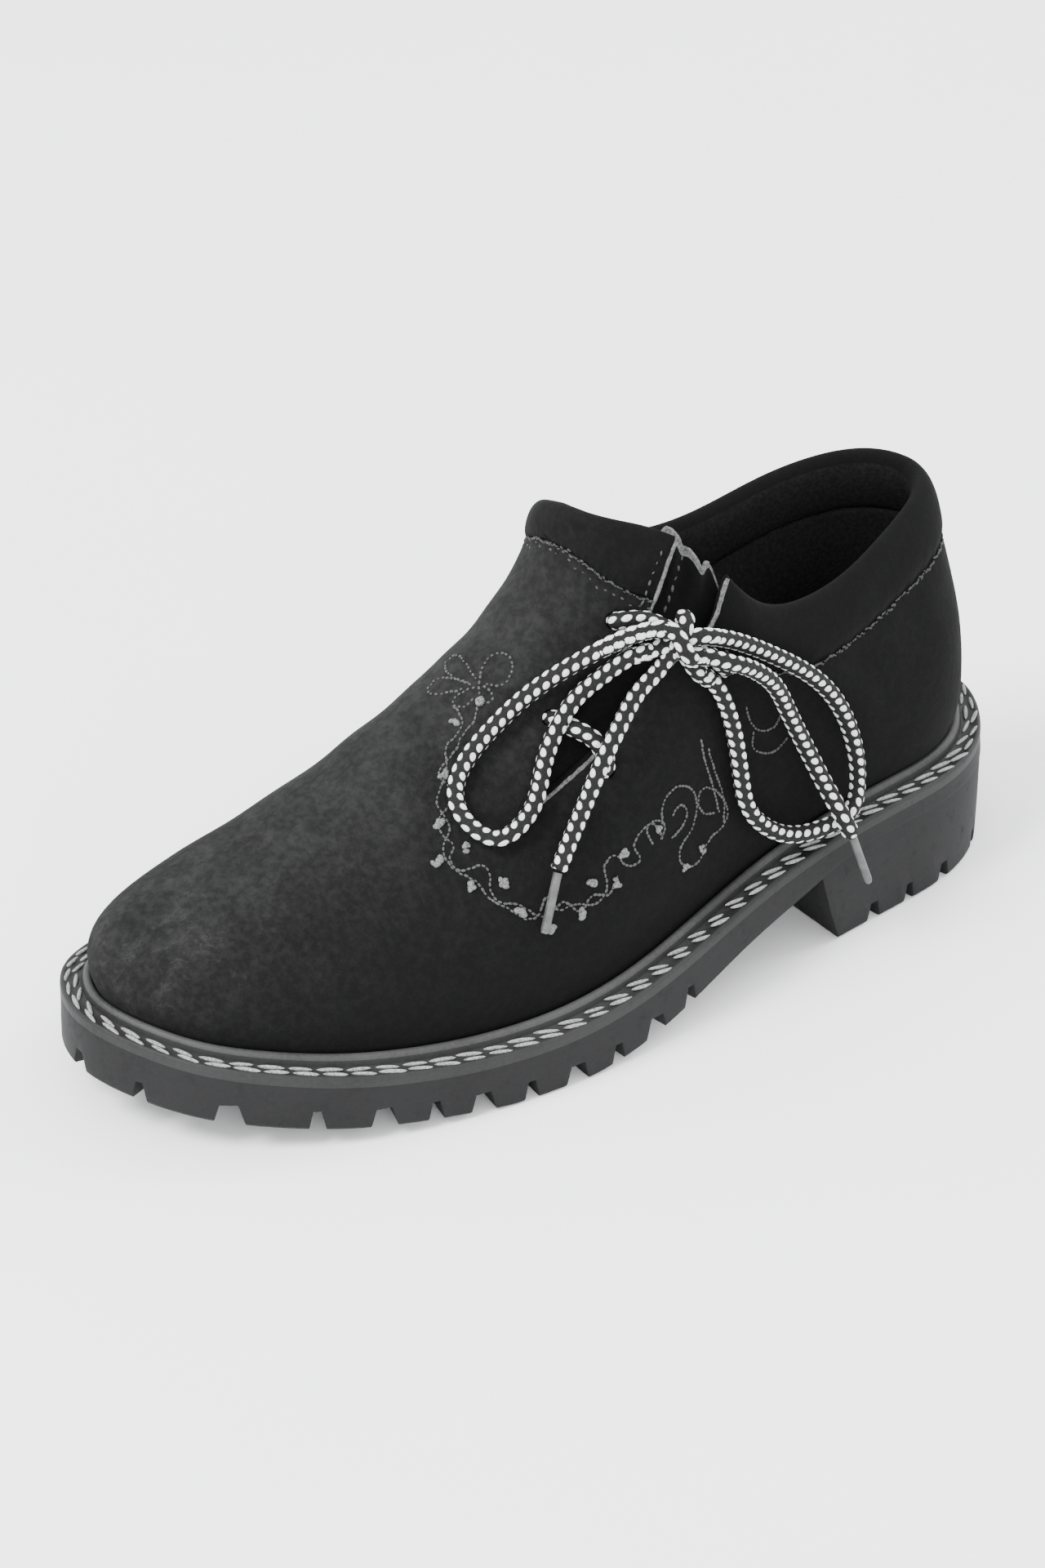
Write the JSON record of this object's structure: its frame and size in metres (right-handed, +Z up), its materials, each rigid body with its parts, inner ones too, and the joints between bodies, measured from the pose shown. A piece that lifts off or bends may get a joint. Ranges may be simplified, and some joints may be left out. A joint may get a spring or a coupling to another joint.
{
  "type": "side-laced traditional shoe",
  "caption": "Left shoe with a black suede upper, padded collar, side opening tied with a checked cord, stitched welt and lugged rubber sole with a heel.",
  "frame": {"origin": "on the floor, under the middle of the sole's length and width", "axes": "+Z up, +Y towards the heel, -Y towards the toe, +X towards the outer side of the left foot, where the lacing is"},
  "size_m": [0.115, 0.3005, 0.1384],
  "materials": {
    "grey_rubber": "matt moulded rubber",
    "grey_welt": "matt, stitched",
    "dark_insole": "matt lining",
    "black_suede": "brushed nap",
    "checked_cord": "black and white woven check",
    "grey_tip": "satin"
  },
  "bodies": {
    "root": {"outsole": "grey_rubber", "heel_block": "grey_rubber", "welt": "grey_welt", "insole": "dark_insole", "upper": "black_suede", "collar_band": "black_suede", "gusset": "black_suede", "lace_bar_top": "checked_cord", "lace_bar_low": "checked_cord", "lace_knot": "checked_cord", "lace_loop_front": "checked_cord", "lace_loop_rear": "checked_cord", "lace_end_front": "checked_cord", "lace_end_rear": "checked_cord", "aglet_front": "grey_tip", "aglet_rear": "grey_tip"}
  },
  "joints": []
}
